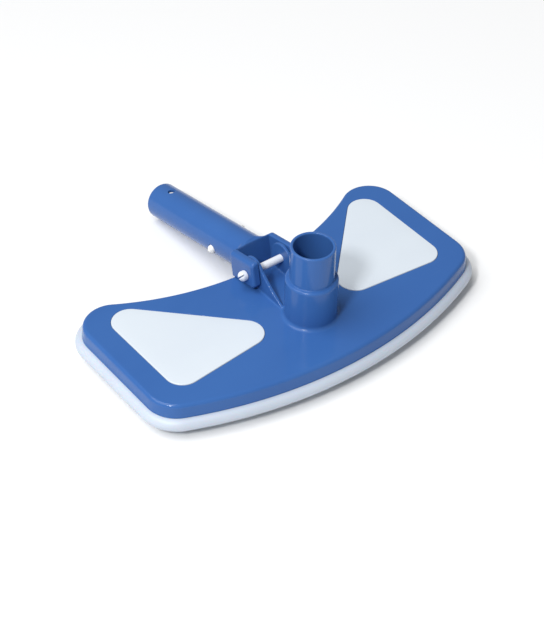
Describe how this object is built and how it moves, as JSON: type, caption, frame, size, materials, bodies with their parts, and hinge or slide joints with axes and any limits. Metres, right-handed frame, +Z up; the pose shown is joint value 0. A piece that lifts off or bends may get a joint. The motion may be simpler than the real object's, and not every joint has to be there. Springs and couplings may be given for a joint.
{
  "type": "manual vacuum head",
  "caption": "Weighted pool vacuum head with a wing-shaped deck, stepped hose spigot, tilting pole handle with latch buttons, soft bumper and brushes underneath.",
  "frame": {"origin": "on the floor, under the axis of the hose spigot", "axes": "+X along the span, +Y from the bulging front edge to the handle, +Z up along the hose spigot"},
  "size_m": [0.293, 0.2441, 0.0898],
  "materials": {
    "blue_plastic": "gloss moulded ABS",
    "bumper_vinyl": "soft white vinyl",
    "base_plastic": "satin moulded ABS",
    "pad_plastic": "satin moulded plastic",
    "bristle_nylon": "cut nylon filament",
    "inlay_plastic": "gloss moulded ABS",
    "bolt_plastic": "white nylon",
    "clip_plastic": "white acetal",
    "screw_steel": "stainless steel",
    "weight_steel": "coated steel plate"
  },
  "bodies": {
    "head": {"top_shell": "blue_plastic", "spigot": "blue_plastic", "ear_left": "blue_plastic", "ear_right": "blue_plastic", "bumper": "bumper_vinyl", "base_plate": "base_plastic", "pad_front_left": "pad_plastic", "pad_front_right": "pad_plastic", "pad_rear_left": "pad_plastic", "pad_rear_right": "pad_plastic", "bristles_front_left": "bristle_nylon", "bristles_front_right": "bristle_nylon", "bristles_rear_left": "bristle_nylon", "bristles_rear_right": "bristle_nylon", "brush_screws": "screw_steel", "base_screws": "screw_steel", "weight_left": "weight_steel", "weight_right": "weight_steel", "inlay_left": "inlay_plastic", "inlay_right": "inlay_plastic"},
    "pole_handle": {"handle": "blue_plastic", "pivot_bolt": "bolt_plastic", "pivot_nut": "bolt_plastic", "clip_bend": "clip_plastic"},
    "latch_left": {"clip_leg_left": "clip_plastic", "button_left": "clip_plastic"},
    "latch_right": {"clip_leg_right": "clip_plastic", "button_right": "clip_plastic"}
  },
  "joints": [
    {"name": "handle_tilt", "type": "hinge", "parent": "head", "child": "pole_handle", "pos_m": [0, 0.05, 0.04], "axis": [1, 0, 0], "range_deg": [0, 100]},
    {"name": "button_left_press", "type": "slide", "parent": "pole_handle", "child": "latch_left", "axis": [0.9781, 0.039, 0.2042], "range_m": [0, 0.0031], "stiffness_N_per_m": 1500, "springref_m": -0.002},
    {"name": "button_right_press", "type": "slide", "parent": "pole_handle", "child": "latch_right", "axis": [-0.9781, -0.039, -0.2042], "range_m": [0, 0.0031], "stiffness_N_per_m": 1500, "springref_m": -0.002}
  ]
}
